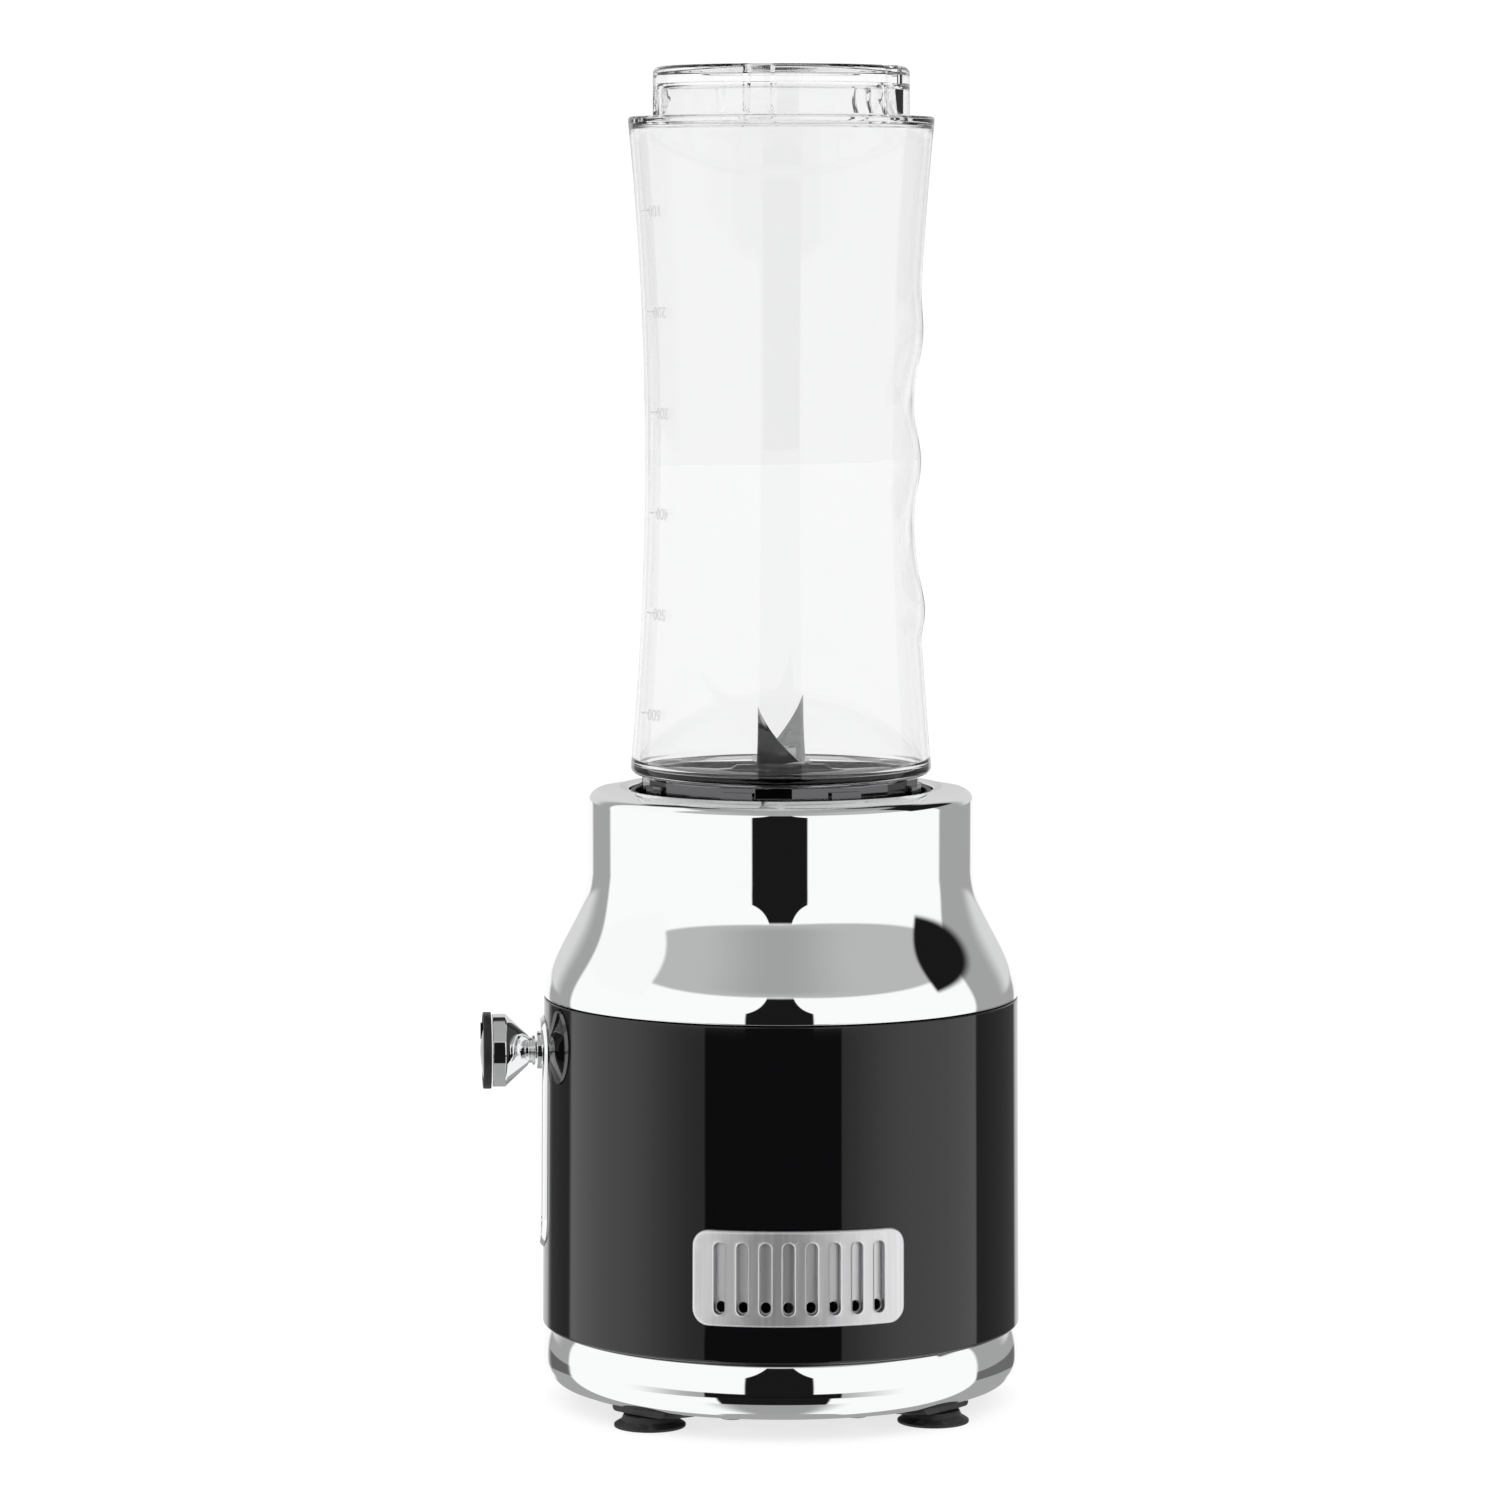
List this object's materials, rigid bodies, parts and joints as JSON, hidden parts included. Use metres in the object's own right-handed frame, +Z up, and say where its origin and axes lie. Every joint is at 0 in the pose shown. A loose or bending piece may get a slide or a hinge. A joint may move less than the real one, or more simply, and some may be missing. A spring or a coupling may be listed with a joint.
{
  "type": "countertop blender",
  "caption": "Personal countertop blender with an inverted clear bottle on a chrome and black motor base, a front knob, side vent grilles and suction feet.",
  "frame": {"origin": "on the floor under the middle of the whole outline; the drive axis is 8.15 mm behind it", "axes": "+Z up along the drive axis, -Y towards the knob at the front, +X to the right-hand grille"},
  "size_m": [0.1282, 0.1422, 0.35],
  "materials": {
    "chrome": "polished mirror plating",
    "black_gloss": "high gloss lacquer",
    "satin_chrome": "satin",
    "black_plastic": "moulded, fine texture",
    "foot_rubber": "soft matt rubber",
    "clear_plastic": "clear moulded copolyester",
    "blade_steel": "polished stainless",
    "steel": "turned steel",
    "silicone": "translucent silicone",
    "brass": "sintered bronze or pressed brass",
    "lamination": "stacked sheet steel",
    "copper": "enamelled copper wire",
    "aluminium": "die cast",
    "nylon": "natural nylon",
    "carbon": "pressed carbon",
    "board": "lacquered laminate",
    "capacitor_case": "dipped resin"
  },
  "bodies": {
    "base": {"upper_housing": "chrome", "body_shell": "black_gloss", "base_ring": "chrome", "bottom_cover": "black_plastic", "foot_1": "foot_rubber", "foot_2": "foot_rubber", "foot_3": "foot_rubber", "foot_4": "foot_rubber", "tie_screw_1": "steel", "tie_screw_2": "steel", "tie_screw_3": "steel", "tie_screw_4": "steel", "grille_right": "satin_chrome", "grille_left": "satin_chrome", "control_plate": "chrome", "rotary_switch": "black_plastic", "stator_core": "lamination", "field_coil_right": "copper", "field_coil_left": "copper", "stator_bolt_1": "steel", "stator_bolt_2": "steel", "upper_bracket": "aluminium", "lower_bracket": "aluminium", "upper_bearing": "steel", "lower_bearing": "steel", "brush_holder_rear": "brass", "brush_holder_front": "brass", "brush_rear": "carbon", "brush_front": "carbon", "motor_carrier": "black_plastic", "damper_1": "foot_rubber", "damper_2": "foot_rubber", "damper_3": "foot_rubber", "circuit_board": "board", "capacitor": "capacitor_case", "cord_gland": "black_plastic", "bottle_seat": "black_plastic", "interlock_switch": "black_plastic", "pin_spring": "steel"},
    "knob": {"knob_body": "chrome", "knob_band": "black_plastic", "knob_cap": "chrome", "switch_shaft": "steel"},
    "rotor": {"motor_shaft": "steel", "armature_core": "lamination", "armature_winding": "copper", "commutator": "copper", "cooling_fan": "nylon", "drive_coupling": "nylon"},
    "blade_unit": {"blade_holder": "chrome", "gasket": "silicone", "blade_bush": "brass", "shaft_seal": "foot_rubber"},
    "blade_rotor": {"blade_shaft": "blade_steel", "blade": "blade_steel", "blade_nut": "blade_steel", "blade_coupling": "nylon"},
    "bottle": {"bottle": "clear_plastic"},
    "interlock": {"interlock_pin": "nylon"}
  },
  "joints": [
    {"name": "knob_turn", "type": "hinge", "parent": "base", "child": "knob", "pos_m": [0, -0.06, 0.093], "axis": [0, -1, 0], "range_deg": [-90, 45]},
    {"name": "motor_spin", "type": "hinge", "parent": "base", "child": "rotor", "pos_m": [0, 0.00815, 0.08], "axis": [0, 0, 1], "continuous": true},
    {"name": "blade_spin", "type": "hinge", "parent": "base", "child": "blade_rotor", "pos_m": [0, 0.00815, 0.165], "axis": [0, 0, 1], "continuous": true},
    {"name": "bottle_twist", "type": "hinge", "parent": "base", "child": "blade_unit", "pos_m": [0, 0.00815, 0.15], "axis": [0, 0, 1], "range_deg": [0, 32]},
    {"name": "bottle_lift", "type": "slide", "parent": "blade_unit", "child": "bottle", "axis": [0, 0, 1], "range_m": [0, 0.06]},
    {"name": "interlock_pin_rise", "type": "slide", "parent": "base", "child": "interlock", "axis": [0, 0, 1], "range_m": [0, 0.003], "deforming": ["pin_spring"]}
  ],
  "couplings": [
    {"joint": "blade_spin", "follows": "motor_spin", "ratio": 1},
    {"joint": "interlock_pin_rise", "follows": "bottle_twist", "m_per_rad": 0.00537}
  ]
}
